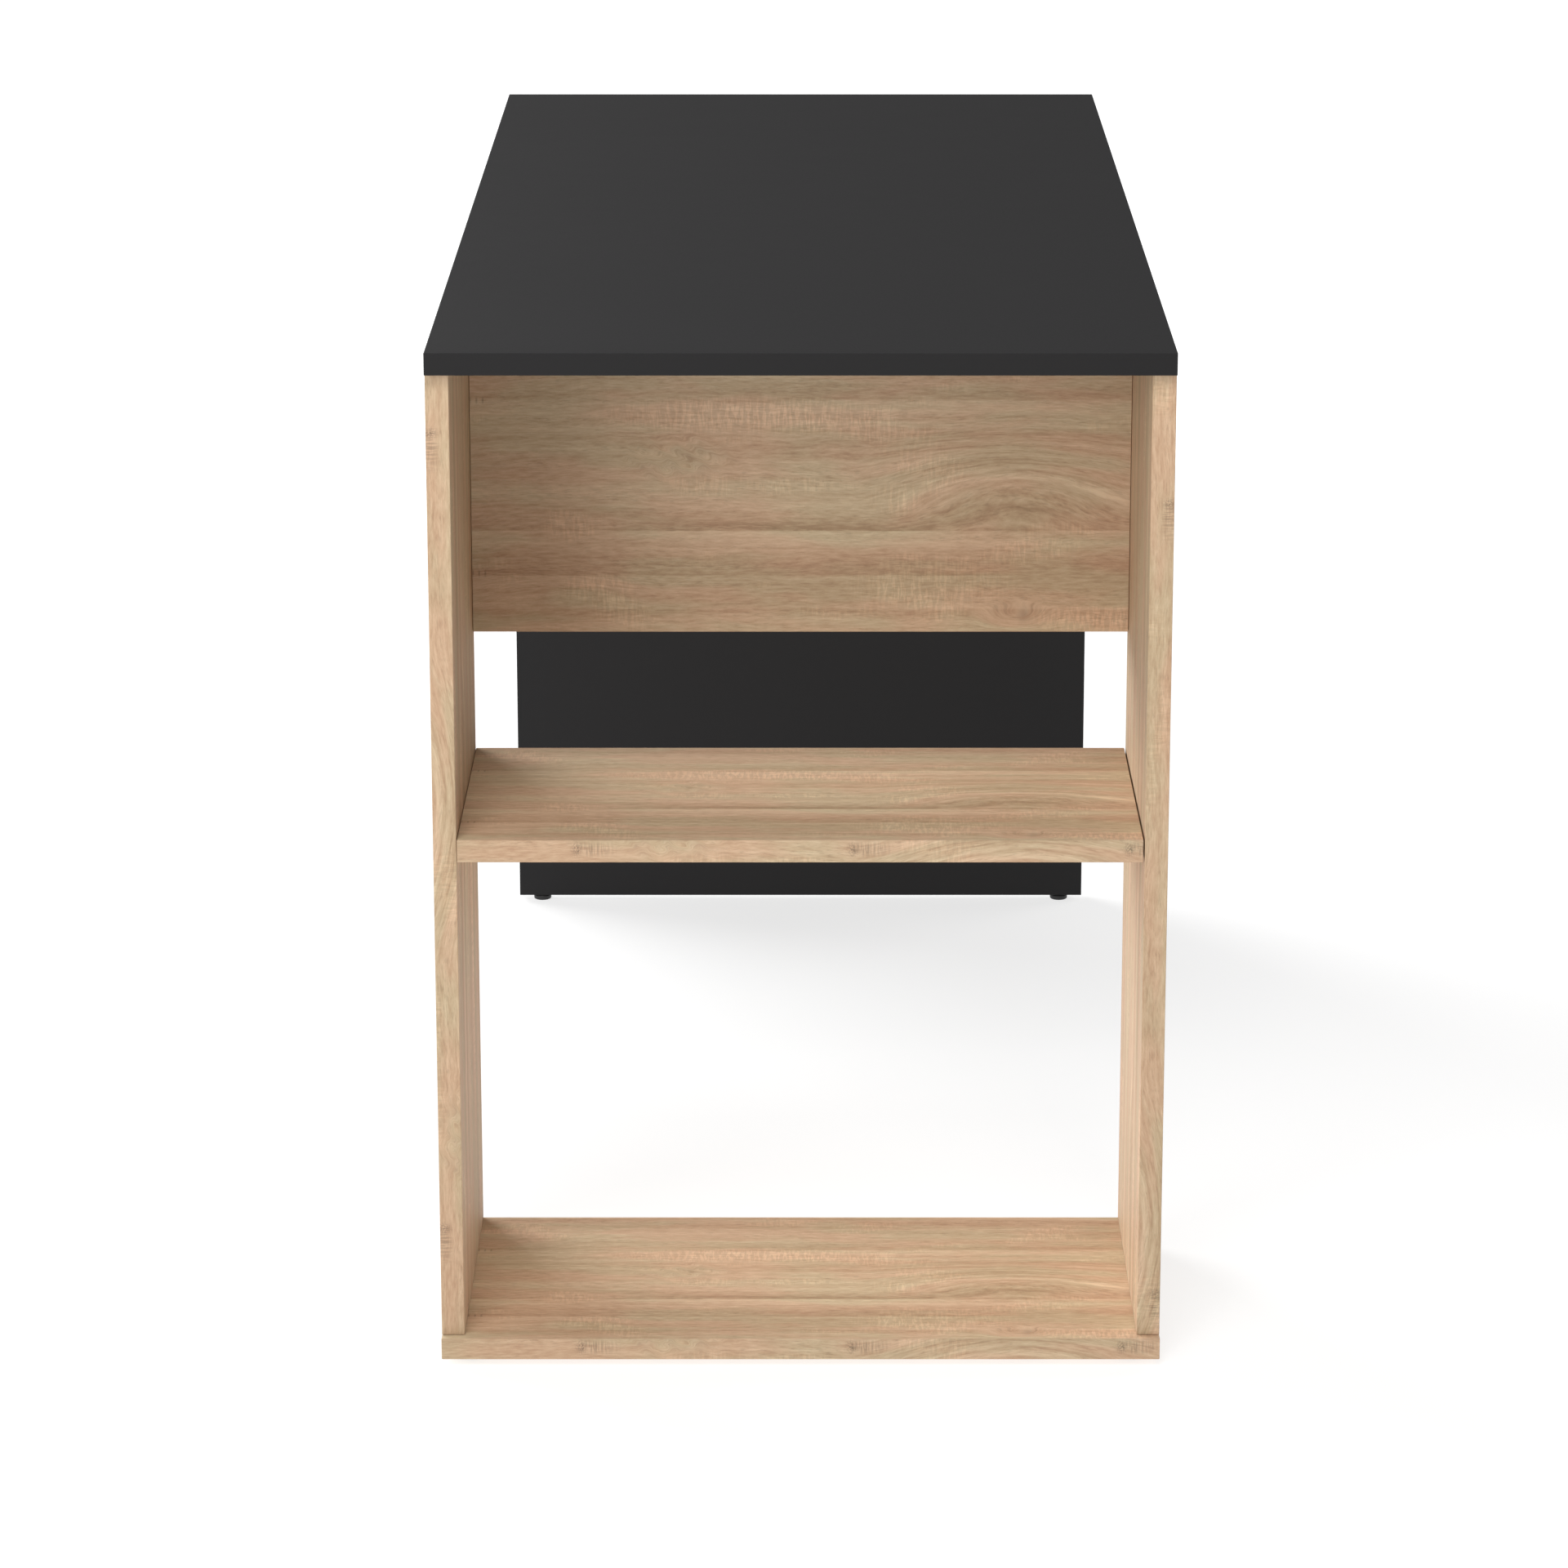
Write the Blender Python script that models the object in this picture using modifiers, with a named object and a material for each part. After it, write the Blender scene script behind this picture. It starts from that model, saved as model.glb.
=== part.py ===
# Small desk of melamine-faced boards: a black top on an open oak shelf tower at one end
# and a black leg panel at the other, held together by cam fittings, dowels and screws.
# Metres. X runs across the desk, Y from the open front of the tower to the leg panel,
# and Z up from the floor under the middle of the desk.
import math

import bmesh
import bpy
from mathutils import Matrix, Vector

MM = 0.001

# Overall sizes
DESK_LENGTH = 1100 * MM
DESK_WIDTH = 505 * MM
DESK_HEIGHT = 727 * MM

# Boards
TOP_THICKNESS = 15.5 * MM
BASE_THICKNESS = 15.5 * MM
PANEL_THICKNESS = 16 * MM  # uprights, back panel, leg panel, modesty panel
SHELF_THICKNESS = 16 * MM
TOWER_DEPTH = 238 * MM  # front edge of the base board to the back of the tower
FRONT_RECESS = 7 * MM  # uprights and shelf behind the front edges of top and base
BACK_PANEL_HEIGHT = 235.5 * MM
MODESTY_HEIGHT = 235.5 * MM
MODESTY_INSET = 60 * MM  # outer face of the modesty panel from the edge of the top
LEG_SIDE_RECESS = 0.5 * MM
SHELF_DROP = 91.5 * MM  # lower edge of the back panel to the top of the shelf
SHELF_PLAY_LEFT = 0.3 * MM
SHELF_PLAY_RIGHT = 1.0 * MM
EDGE_CHAMFER = 0.35 * MM

# Clearances
GAP = 0.3 * MM  # between two pieces that touch
BORE_OVERRUN = 1 * MM  # a bore's cutter stands this far out of the board
TIP_CHAMFER = 1 * MM  # ends of dowels, bolts and screws

# Cam fittings
CAM_BORE_RADIUS = 7.5 * MM
CAM_FLOOR = 3.2 * MM  # board left behind the cam
CAM_DISTANCE = 24 * MM  # edge of the board to the centre of the cam
CAM_SINK = 0.3 * MM  # face of the cam below the face of the board
CAM_SLOT_LENGTH = 9.5 * MM
CAM_SLOT_WIDTH = 1.8 * MM
CAM_SLOT_DEPTH = 2.6 * MM
BOLT_THREAD_RADIUS = 2.6 * MM
BOLT_THREAD_LENGTH = 10.5 * MM
BOLT_COLLAR_RADIUS = 3.5 * MM
BOLT_COLLAR_LENGTH = 2 * MM
BOLT_NECK_RADIUS = 2 * MM
BOLT_HEAD_RADIUS = 3.3 * MM
BOLT_HEAD_LENGTH = 6 * MM
END_CAM_INSET = 40 * MM  # cams at the end of a board, from its long edges
TOP_CAM_INSET = 86 * MM  # cams under the top, from the ends of their board

# Dowels
DOWEL_RADIUS = 3.7 * MM
DOWEL_IN_FACE = 10.5 * MM
DOWEL_IN_EDGE = 19.5 * MM
DOWEL_BESIDE_CAM = 45 * MM

# Screws through the base board into the uprights
SCREW_INSET = 40 * MM  # from the front and back edges of the upright
SCREW_HEAD_RADIUS = 5 * MM
SCREW_HEAD_LENGTH = 4.5 * MM
SCREW_HEAD_RIM = 0.8 * MM  # straight rim above the countersink
SCREW_SHANK_RADIUS = 3.4 * MM
SCREW_SHANK_LENGTH = 8.5 * MM
SCREW_THREAD_RADIUS = 2.6 * MM
SCREW_THREAD_LENGTH = 34 * MM
SCREW_SOCKET_RADIUS = 2.3 * MM
SCREW_SOCKET_DEPTH = 2.8 * MM

# Shelf pins
PIN_INSET = 37 * MM  # from the front and back edges of the upright
PIN_SHANK_RADIUS = 2.5 * MM
PIN_SHANK_LENGTH = 9 * MM
PIN_HEAD_RADIUS = 3.5 * MM
PIN_HEAD_LENGTH = 8 * MM
PIN_CHAMFER = 0.5 * MM

# Glides with their nails
GLIDE_HEIGHT = 5 * MM
GLIDE_RADIUS = 7.75 * MM
GLIDE_RIM_RADIUS = 1.2 * MM
GLIDE_SIDE_INSET = 20 * MM
GLIDE_END_INSET = 20 * MM
NAIL_HEAD_RADIUS = 3 * MM
NAIL_HEAD_LENGTH = 1 * MM
NAIL_SINK = 0.7 * MM  # head above the sole of the glide
NAIL_SHANK_RADIUS = 1.1 * MM
NAIL_IN_BOARD = 10.5 * MM

# Sides of the round pieces
CAM_SIDES = 24
ROUND_SIDES = 12
GLIDE_SIDES = 24
RIM_STEPS = 3

X = Vector((1, 0, 0))
Y = Vector((0, 1, 0))
Z = Vector((0, 0, 1))

# Planes that several pieces share
HALF_WIDTH = DESK_WIDTH / 2
FRONT = -DESK_LENGTH / 2
FAR_END = DESK_LENGTH / 2
TOP_UNDERSIDE = DESK_HEIGHT - TOP_THICKNESS
BASE_TOP = GLIDE_HEIGHT + BASE_THICKNESS
UPRIGHT_FRONT = FRONT + FRONT_RECESS
TOWER_BACK = FRONT + TOWER_DEPTH
BACK_PANEL_FACE = TOWER_BACK - PANEL_THICKNESS
UPRIGHT_INNER = HALF_WIDTH - PANEL_THICKNESS
UPRIGHT_CENTRE = HALF_WIDTH - PANEL_THICKNESS / 2
LEG_FACE = FAR_END - PANEL_THICKNESS
LEG_CENTRE = FAR_END - PANEL_THICKNESS / 2
MODESTY_OUTER = HALF_WIDTH - MODESTY_INSET
MODESTY_CENTRE = MODESTY_OUTER - PANEL_THICKNESS / 2
BACK_PANEL_CENTRE = TOWER_BACK - PANEL_THICKNESS / 2
BACK_PANEL_BOTTOM = TOP_UNDERSIDE - BACK_PANEL_HEIGHT
MODESTY_BOTTOM = TOP_UNDERSIDE - MODESTY_HEIGHT
SHELF_TOP = BACK_PANEL_BOTTOM - SHELF_DROP
SHELF_UNDERSIDE = SHELF_TOP - SHELF_THICKNESS
CAM_BORE_DEPTH = PANEL_THICKNESS - CAM_FLOOR


def clear_scene():
    for obj in list(bpy.data.objects):
        bpy.data.objects.remove(obj, do_unlink=True)


def new_collection(name):
    collection = bpy.data.collections.new(name)
    bpy.context.scene.collection.children.link(collection)
    return collection


def srgb(red, green, blue):
    # Linear values of an 8-bit colour.
    def linear(value):
        value /= 255
        return value / 12.92 if value <= 0.04045 else ((value + 0.055) / 1.055) ** 2.4

    return (linear(red), linear(green), linear(blue), 1)


def finish(name, colour, roughness, metallic=0):
    material = bpy.data.materials.new(name)
    material.use_nodes = True
    shader = material.node_tree.nodes["Principled BSDF"]
    shader.inputs["Base Color"].default_value = colour
    shader.inputs["Roughness"].default_value = roughness
    shader.inputs["Metallic"].default_value = metallic
    return material


def baked(obj):
    # The mesh of a scratch object with its modifiers applied.
    graph = bpy.context.evaluated_depsgraph_get()
    mesh = bpy.data.meshes.new_from_object(obj.evaluated_get(graph))
    bpy.data.objects.remove(obj, do_unlink=True)
    shape = bmesh.new()
    shape.from_mesh(mesh)
    bmesh.ops.remove_doubles(shape, verts=shape.verts, dist=0.005 * MM)
    shape.to_mesh(mesh)
    shape.free()
    return mesh


def turned(profile, sides):
    # A solid of revolution about Z. The profile runs down its outer side, from axis to axis.
    mesh = bpy.data.meshes.new("profile")
    points = [(radius, 0, height) for radius, height in profile]
    mesh.from_pydata(points, [(i, i + 1) for i in range(len(points) - 1)], [])
    obj = bpy.data.objects.new("profile", mesh)
    bpy.context.scene.collection.objects.link(obj)
    screw = obj.modifiers.new("Screw", "SCREW")
    screw.axis = "Z"
    screw.angle = math.tau
    screw.steps = sides
    screw.render_steps = sides
    screw.use_merge_vertices = True
    screw.merge_threshold = 0.01 * MM
    return baked(obj)


def rod(radius, low, high, sides=ROUND_SIDES):
    return turned([(0, high), (radius, high), (radius, low), (0, low)], sides)


def block(low, high):
    mesh = bpy.data.meshes.new("block")
    shape = bmesh.new()
    size = Vector(high) - Vector(low)
    middle = (Vector(high) + Vector(low)) / 2
    bmesh.ops.create_cube(shape, size=1, matrix=Matrix.Translation(middle) @ Matrix.Diagonal((*size, 1)))
    shape.to_mesh(mesh)
    shape.free()
    return mesh


def pose(origin, z_axis, x_axis=None):
    # A frame at origin with its Z along z_axis and, where it matters, its X along x_axis.
    z_axis = Vector(z_axis)
    x_axis = Vector(x_axis) if x_axis is not None else z_axis.orthogonal().normalized()
    y_axis = z_axis.cross(x_axis)
    turn = Matrix((x_axis, y_axis, z_axis)).transposed().to_4x4()
    return Matrix.Translation(origin) @ turn


def carved(mesh, cutter_meshes):
    # The mesh with each of the cutters taken out of it.
    scratch = bpy.data.objects.new("scratch", mesh)
    bpy.context.scene.collection.objects.link(scratch)
    cutters = []
    for cutter_mesh in cutter_meshes:
        cutter = hide_cutter(bpy.data.objects.new("scratch_cutter", cutter_mesh))
        bpy.context.scene.collection.objects.link(cutter)
        cutters.append(cutter)
        cut(scratch, cutter)
    result = baked(scratch)
    for cutter in cutters:
        bpy.data.objects.remove(cutter, do_unlink=True)
    return result


def hide_cutter(obj):
    obj.hide_render = True
    obj.display_type = "WIRE"
    return obj


def cut(obj, cutter):
    boolean = obj.modifiers.new("Bores", "BOOLEAN")
    boolean.operation = "DIFFERENCE"
    boolean.solver = "EXACT"
    boolean.object = cutter


def copies(kind, mesh, places, material, parts):
    # One object for each place, all on the same mesh.
    mesh.name = kind
    mesh.shade_smooth()
    mesh.set_sharp_from_angle(angle=math.radians(40))
    mesh.materials.clear()
    mesh.materials.append(material)
    for name, place in places.items():
        obj = bpy.data.objects.new(f"{kind}_{name}", mesh)
        obj.matrix_world = place
        parts.objects.link(obj)


class Fittings:
    # Keeps the pose of every fitting, and the bores that it needs in its boards.
    def __init__(self):
        self.cams = {}
        self.bolts = {}
        self.dowels = {}
        self.screws = {}
        self.pins = {}
        self.glides = {}
        self.bores = {}

    def bore(self, board, layer, place, mesh):
        # The cutter stands in the pose, with the board below its origin. Bores that cross lie in
        # different layers.
        self.bores.setdefault((board, layer), []).append((place, mesh))

    def hole(self, board, layer, place, radius, depth, sides=ROUND_SIDES):
        self.bore(board, layer, place, rod(radius, -depth, BORE_OVERRUN, sides))

    def cam(self, name, edge_board, face_board, point, inward, cam_face):
        # Inward points from the face board into the edge board, and point is where the two meet.
        centre = point + inward * CAM_DISTANCE + cam_face * (PANEL_THICKNESS / 2)
        self.cams[name] = pose(centre, cam_face, -inward)
        self.bolts[name] = pose(point, inward)
        self.hole(edge_board, "face", self.cams[name], CAM_BORE_RADIUS, CAM_BORE_DEPTH, CAM_SIDES)
        self.hole(edge_board, "edge", pose(point, -inward), BOLT_COLLAR_RADIUS + GAP, CAM_DISTANCE)
        depth = BOLT_THREAD_LENGTH + 2 * GAP
        self.hole(face_board, "face", self.bolts[name], BOLT_THREAD_RADIUS + GAP, depth)

    def dowel(self, name, edge_board, face_board, point, inward):
        self.dowels[name] = pose(point, inward)
        self.hole(face_board, "face", self.dowels[name], DOWEL_RADIUS + GAP, DOWEL_IN_FACE + 2 * GAP)
        self.hole(edge_board, "edge", pose(point, -inward), DOWEL_RADIUS + GAP, DOWEL_IN_EDGE + 2 * GAP)

    def screw(self, name, edge_board, base_board, point):
        # Point lies on the underside of the base board.
        place = pose(point, -Z)
        self.screws[name] = place
        depth = SCREW_HEAD_LENGTH + SCREW_SHANK_LENGTH + SCREW_THREAD_LENGTH + GAP
        self.hole(edge_board, "edge", place, SCREW_SHANK_RADIUS + GAP, depth)
        self.bore(base_board, "screws", place, turned(screw_hole(), ROUND_SIDES))

    def pin(self, name, board, point, outward):
        self.pins[name] = pose(point, outward)
        self.hole(board, "face", self.pins[name], PIN_SHANK_RADIUS + GAP, PIN_SHANK_LENGTH + GAP)

    def glide(self, name, board, point):
        # Point lies on the underside of the board.
        self.glides[name] = pose(point, -Z)
        self.hole(board, "edge", self.glides[name], NAIL_SHANK_RADIUS + GAP, NAIL_IN_BOARD + GAP)


def screw_hole():
    # Through the base board, with a countersink for the head.
    far_side = -BASE_THICKNESS - BORE_OVERRUN
    return [
        (0, BORE_OVERRUN),
        (SCREW_HEAD_RADIUS + GAP, BORE_OVERRUN),
        (SCREW_HEAD_RADIUS + GAP, -SCREW_HEAD_RIM - GAP),
        (SCREW_SHANK_RADIUS + GAP, -SCREW_HEAD_LENGTH - GAP),
        (SCREW_SHANK_RADIUS + GAP, far_side),
        (0, far_side),
    ]


def board_boxes():
    # Lowest and highest corner of each board.
    shelf_low = (-UPRIGHT_INNER + SHELF_PLAY_LEFT, UPRIGHT_FRONT, SHELF_UNDERSIDE)
    shelf_high = (UPRIGHT_INNER - SHELF_PLAY_RIGHT, TOWER_BACK, SHELF_TOP)
    upright_bottom = BASE_TOP + GAP
    board_top = TOP_UNDERSIDE - GAP
    leg_half = HALF_WIDTH - LEG_SIDE_RECESS
    panel_half = UPRIGHT_INNER - GAP
    modesty_inner = MODESTY_OUTER - PANEL_THICKNESS
    return {
        "table_top": ((-HALF_WIDTH, FRONT, TOP_UNDERSIDE), (HALF_WIDTH, FAR_END, DESK_HEIGHT)),
        "base_board": ((-HALF_WIDTH, FRONT, GLIDE_HEIGHT), (HALF_WIDTH, TOWER_BACK, BASE_TOP)),
        "upright_left": (
            (-HALF_WIDTH, UPRIGHT_FRONT, upright_bottom),
            (-UPRIGHT_INNER, TOWER_BACK, board_top),
        ),
        "upright_right": (
            (UPRIGHT_INNER, UPRIGHT_FRONT, upright_bottom),
            (HALF_WIDTH, TOWER_BACK, board_top),
        ),
        "loose_shelf": (shelf_low, shelf_high),
        "tower_back_panel": (
            (-panel_half, BACK_PANEL_FACE, BACK_PANEL_BOTTOM),
            (panel_half, TOWER_BACK, board_top),
        ),
        "leg_panel": ((-leg_half, LEG_FACE, GLIDE_HEIGHT), (leg_half, FAR_END, board_top)),
        "modesty_panel": (
            (modesty_inner, TOWER_BACK + GAP, MODESTY_BOTTOM),
            (MODESTY_OUTER, LEG_FACE - GAP, board_top),
        ),
    }


def place_fittings():
    fit = Fittings()
    tower_levels = (BACK_PANEL_BOTTOM + END_CAM_INSET, TOP_UNDERSIDE - END_CAM_INSET)
    modesty_levels = (MODESTY_BOTTOM + END_CAM_INSET, TOP_UNDERSIDE - END_CAM_INSET)
    screw_rows = {"front": UPRIGHT_FRONT + SCREW_INSET, "back": TOWER_BACK - SCREW_INSET}
    pin_rows = {"front": UPRIGHT_FRONT + PIN_INSET, "back": TOWER_BACK - PIN_INSET}
    glide_rows = {"front": FRONT + GLIDE_END_INSET, "back": TOWER_BACK - GLIDE_END_INSET}
    cam_across = UPRIGHT_INNER - TOP_CAM_INSET
    pin_level = SHELF_UNDERSIDE - GAP - PIN_HEAD_RADIUS
    leg_glide_across = HALF_WIDTH - LEG_SIDE_RECESS - GLIDE_SIDE_INSET

    for side, hand in ((-1, "left"), (1, "right")):
        upright = f"upright_{hand}"
        inner = side * UPRIGHT_INNER
        centre = side * UPRIGHT_CENTRE
        inward = -side * X
        low, high = (Vector((inner, BACK_PANEL_CENTRE, level)) for level in tower_levels)
        fit.cam(f"tower_{hand}", "tower_back_panel", upright, low, inward, Y)
        fit.dowel(f"tower_{hand}", "tower_back_panel", upright, high, inward)

        for end in ("front", "back"):
            name = f"{end}_{hand}"
            row = screw_rows[end]
            fit.dowel(f"upright_{name}", upright, "table_top", Vector((centre, row, TOP_UNDERSIDE)), -Z)
            fit.screw(name, upright, "base_board", Vector((centre, row, GLIDE_HEIGHT)))
            fit.pin(name, upright, Vector((inner, pin_rows[end], pin_level)), inward)
            across = side * (HALF_WIDTH - GLIDE_SIDE_INSET)
            fit.glide(name, "base_board", Vector((across, glide_rows[end], GLIDE_HEIGHT)))

        across = side * cam_across
        over_tower = Vector((across, BACK_PANEL_CENTRE, TOP_UNDERSIDE))
        over_leg = Vector((across, LEG_CENTRE, TOP_UNDERSIDE))
        fit.cam(f"top_{hand}", "tower_back_panel", "table_top", over_tower, -Z, Y)
        fit.cam(f"leg_{hand}", "leg_panel", "table_top", over_leg, -Z, -Y)
        fit.dowel(f"leg_{hand}", "leg_panel", "table_top", over_leg + inward * DOWEL_BESIDE_CAM, -Z)
        fit.glide(f"leg_{hand}", "leg_panel", Vector((side * leg_glide_across, LEG_CENTRE, GLIDE_HEIGHT)))

    for name, plane, panel, inward in (
        ("modesty_tower", TOWER_BACK, "tower_back_panel", Y),
        ("modesty_leg", LEG_FACE, "leg_panel", -Y),
    ):
        low, high = (Vector((MODESTY_CENTRE, plane, level)) for level in modesty_levels)
        fit.cam(name, "modesty_panel", panel, low, inward, -X)
        fit.dowel(name, "modesty_panel", panel, high, inward)
    return fit


def make_board(name, box, material, parts):
    low, high = Vector(box[0]), Vector(box[1])
    middle = (low + high) / 2
    obj = bpy.data.objects.new(name, block(low - middle, high - middle))
    obj.location = middle
    parts.objects.link(obj)
    obj.data.materials.append(material)
    bevel = obj.modifiers.new("Edges", "BEVEL")
    bevel.width = EDGE_CHAMFER
    bevel.segments = 1
    bevel.limit_method = "NONE"
    return obj


def bore_boards(boards, fit, cutters):
    for (board, layer), bores in fit.bores.items():
        shape = bmesh.new()
        for place, mesh in bores:
            first = len(shape.verts)
            shape.from_mesh(mesh)
            shape.verts.ensure_lookup_table()
            bmesh.ops.transform(shape, matrix=place, verts=shape.verts[first:])
        mesh = bpy.data.meshes.new(f"{board}_{layer}_bores")
        shape.to_mesh(mesh)
        shape.free()
        cutter = hide_cutter(bpy.data.objects.new(mesh.name, mesh))
        cutters.objects.link(cutter)
        cut(boards[board], cutter)


def screw_mesh():
    # The head's face is at the origin, and the thread runs down -Z.
    thread_start = -SCREW_HEAD_LENGTH - SCREW_SHANK_LENGTH
    tip = thread_start - SCREW_THREAD_LENGTH
    outline = [
        (0, 0),
        (SCREW_HEAD_RADIUS, 0),
        (SCREW_HEAD_RADIUS, -SCREW_HEAD_RIM),
        (SCREW_SHANK_RADIUS, -SCREW_HEAD_LENGTH),
        (SCREW_SHANK_RADIUS, thread_start),
        (SCREW_THREAD_RADIUS, thread_start - TIP_CHAMFER),
        (SCREW_THREAD_RADIUS, tip + 3 * TIP_CHAMFER),
        (TIP_CHAMFER, tip),
        (0, tip),
    ]
    socket = rod(SCREW_SOCKET_RADIUS, -SCREW_SOCKET_DEPTH, BORE_OVERRUN, 6)
    return carved(turned(outline, ROUND_SIDES), [socket])


def cam_mesh():
    # Its face looks up +Z from just under the board's face, and the bolt comes in along +X.
    body = rod(CAM_BORE_RADIUS - GAP, -CAM_BORE_DEPTH + GAP, -CAM_SINK, CAM_SIDES)
    middle = -PANEL_THICKNESS / 2
    hollow = BOLT_HEAD_RADIUS + 2 * GAP
    reach = BOLT_HEAD_LENGTH / 2 + 2 * GAP
    throat = block((-reach, -hollow, middle - hollow), (CAM_BORE_RADIUS, hollow, middle + hollow))
    floor = -CAM_SINK - CAM_SLOT_DEPTH
    length, width = CAM_SLOT_LENGTH / 2, CAM_SLOT_WIDTH / 2
    slots = [block((-x, -y, floor), (x, y, BORE_OVERRUN)) for x, y in ((length, width), (width, length))]
    return carved(body, [throat] + slots)


def bolt_mesh():
    # The thread runs down -Z into the face board, and the head stands in the cam.
    head_top = CAM_DISTANCE + BOLT_HEAD_LENGTH / 2
    head_low = CAM_DISTANCE - BOLT_HEAD_LENGTH / 2
    round_off = BOLT_HEAD_RADIUS - BOLT_NECK_RADIUS
    outline = [
        (0, head_top),
        (BOLT_NECK_RADIUS, head_top),
        (BOLT_HEAD_RADIUS, head_top - round_off),
        (BOLT_HEAD_RADIUS, head_low + round_off),
        (BOLT_NECK_RADIUS, head_low),
        (BOLT_NECK_RADIUS, BOLT_COLLAR_LENGTH + GAP),
        (BOLT_COLLAR_RADIUS, BOLT_COLLAR_LENGTH + GAP),
        (BOLT_COLLAR_RADIUS, GAP),
        (BOLT_THREAD_RADIUS, GAP),
        (BOLT_THREAD_RADIUS, -BOLT_THREAD_LENGTH + TIP_CHAMFER),
        (BOLT_THREAD_RADIUS - TIP_CHAMFER, -BOLT_THREAD_LENGTH),
        (0, -BOLT_THREAD_LENGTH),
    ]
    return turned(outline, ROUND_SIDES)


def dowel_mesh():
    outline = [
        (0, DOWEL_IN_EDGE),
        (DOWEL_RADIUS - TIP_CHAMFER, DOWEL_IN_EDGE),
        (DOWEL_RADIUS, DOWEL_IN_EDGE - TIP_CHAMFER),
        (DOWEL_RADIUS, -DOWEL_IN_FACE + TIP_CHAMFER),
        (DOWEL_RADIUS - TIP_CHAMFER, -DOWEL_IN_FACE),
        (0, -DOWEL_IN_FACE),
    ]
    return turned(outline, ROUND_SIDES)


def pin_mesh():
    # The shank runs down -Z into the upright, and the head stands out under the shelf.
    outline = [
        (0, PIN_HEAD_LENGTH),
        (PIN_HEAD_RADIUS - PIN_CHAMFER, PIN_HEAD_LENGTH),
        (PIN_HEAD_RADIUS, PIN_HEAD_LENGTH - PIN_CHAMFER),
        (PIN_HEAD_RADIUS, GAP),
        (PIN_SHANK_RADIUS, GAP),
        (PIN_SHANK_RADIUS, -PIN_SHANK_LENGTH + PIN_CHAMFER),
        (PIN_SHANK_RADIUS - PIN_CHAMFER, -PIN_SHANK_LENGTH),
        (0, -PIN_SHANK_LENGTH),
    ]
    return turned(outline, ROUND_SIDES)


def glide_mesh():
    # The board is at the origin, and +Z points down to the floor.
    quarter = [math.pi / 2 * step / RIM_STEPS for step in range(RIM_STEPS + 1)]
    flat_radius = GLIDE_RADIUS - GLIDE_RIM_RADIUS
    rim_level = GLIDE_HEIGHT - GLIDE_RIM_RADIUS
    rim = [
        (flat_radius + GLIDE_RIM_RADIUS * math.sin(turn), rim_level + GLIDE_RIM_RADIUS * math.cos(turn))
        for turn in quarter
    ]
    pad = turned([(0, GLIDE_HEIGHT)] + rim + [(GLIDE_RADIUS, GAP), (0, GAP)], GLIDE_SIDES)
    shelf = GLIDE_HEIGHT - NAIL_SINK - NAIL_HEAD_LENGTH - GAP
    seat = [
        (0, GLIDE_HEIGHT + BORE_OVERRUN),
        (NAIL_HEAD_RADIUS + GAP, GLIDE_HEIGHT + BORE_OVERRUN),
        (NAIL_HEAD_RADIUS + GAP, shelf),
        (NAIL_SHANK_RADIUS + GAP, shelf),
        (NAIL_SHANK_RADIUS + GAP, -BORE_OVERRUN),
        (0, -BORE_OVERRUN),
    ]
    return carved(pad, [turned(seat, ROUND_SIDES)])


def nail_mesh():
    face = GLIDE_HEIGHT - NAIL_SINK
    outline = [
        (0, face),
        (NAIL_HEAD_RADIUS - PIN_CHAMFER, face),
        (NAIL_HEAD_RADIUS, face - PIN_CHAMFER),
        (NAIL_HEAD_RADIUS, face - NAIL_HEAD_LENGTH),
        (NAIL_SHANK_RADIUS, face - NAIL_HEAD_LENGTH),
        (NAIL_SHANK_RADIUS, -NAIL_IN_BOARD + 2 * NAIL_SHANK_RADIUS),
        (0, -NAIL_IN_BOARD),
    ]
    return turned(outline, ROUND_SIDES)


def make_fittings(fit, parts):
    zinc = finish("cam_zinc", srgb(176, 177, 178), 0.45, 1)
    bolt_steel = finish("bolt_steel", srgb(196, 192, 180), 0.3, 1)
    screw_steel = finish("screw_steel", srgb(190, 190, 186), 0.35, 1)
    pin_steel = finish("pin_steel", srgb(200, 200, 200), 0.25, 1)
    nail_steel = finish("nail_steel", srgb(190, 190, 190), 0.3, 1)
    beech = finish("dowel_beech", srgb(214, 180, 136), 0.7)
    plastic = finish("glide_plastic", srgb(30, 30, 30), 0.5)
    copies("cam_lock", cam_mesh(), fit.cams, zinc, parts)
    copies("cam_bolt", bolt_mesh(), fit.bolts, bolt_steel, parts)
    copies("dowel", dowel_mesh(), fit.dowels, beech, parts)
    copies("base_screw", screw_mesh(), fit.screws, screw_steel, parts)
    copies("shelf_pin", pin_mesh(), fit.pins, pin_steel, parts)
    copies("glide", glide_mesh(), fit.glides, plastic, parts)
    copies("glide_nail", nail_mesh(), fit.glides, nail_steel, parts)


def main():
    clear_scene()
    parts = new_collection("shelf_end_desk")
    cutters = new_collection("desk_cutters")

    black = {"colour": srgb(62, 61, 61), "roughness": 0.5}
    oak = {"colour": srgb(203, 175, 145), "roughness": 0.55}
    board_looks = {
        "table_top": black,
        "leg_panel": black,
        "modesty_panel": black,
        "base_board": oak,
        "upright_left": oak,
        "upright_right": oak,
        "loose_shelf": oak,
        "tower_back_panel": oak,
    }
    boards = {}
    for name, box in board_boxes().items():
        boards[name] = make_board(name, box, finish(f"{name}_finish", **board_looks[name]), parts)

    fit = place_fittings()
    bore_boards(boards, fit, cutters)
    make_fittings(fit, parts)


main()
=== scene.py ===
import math

import bmesh
import bpy
from mathutils import Matrix, Vector


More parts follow.
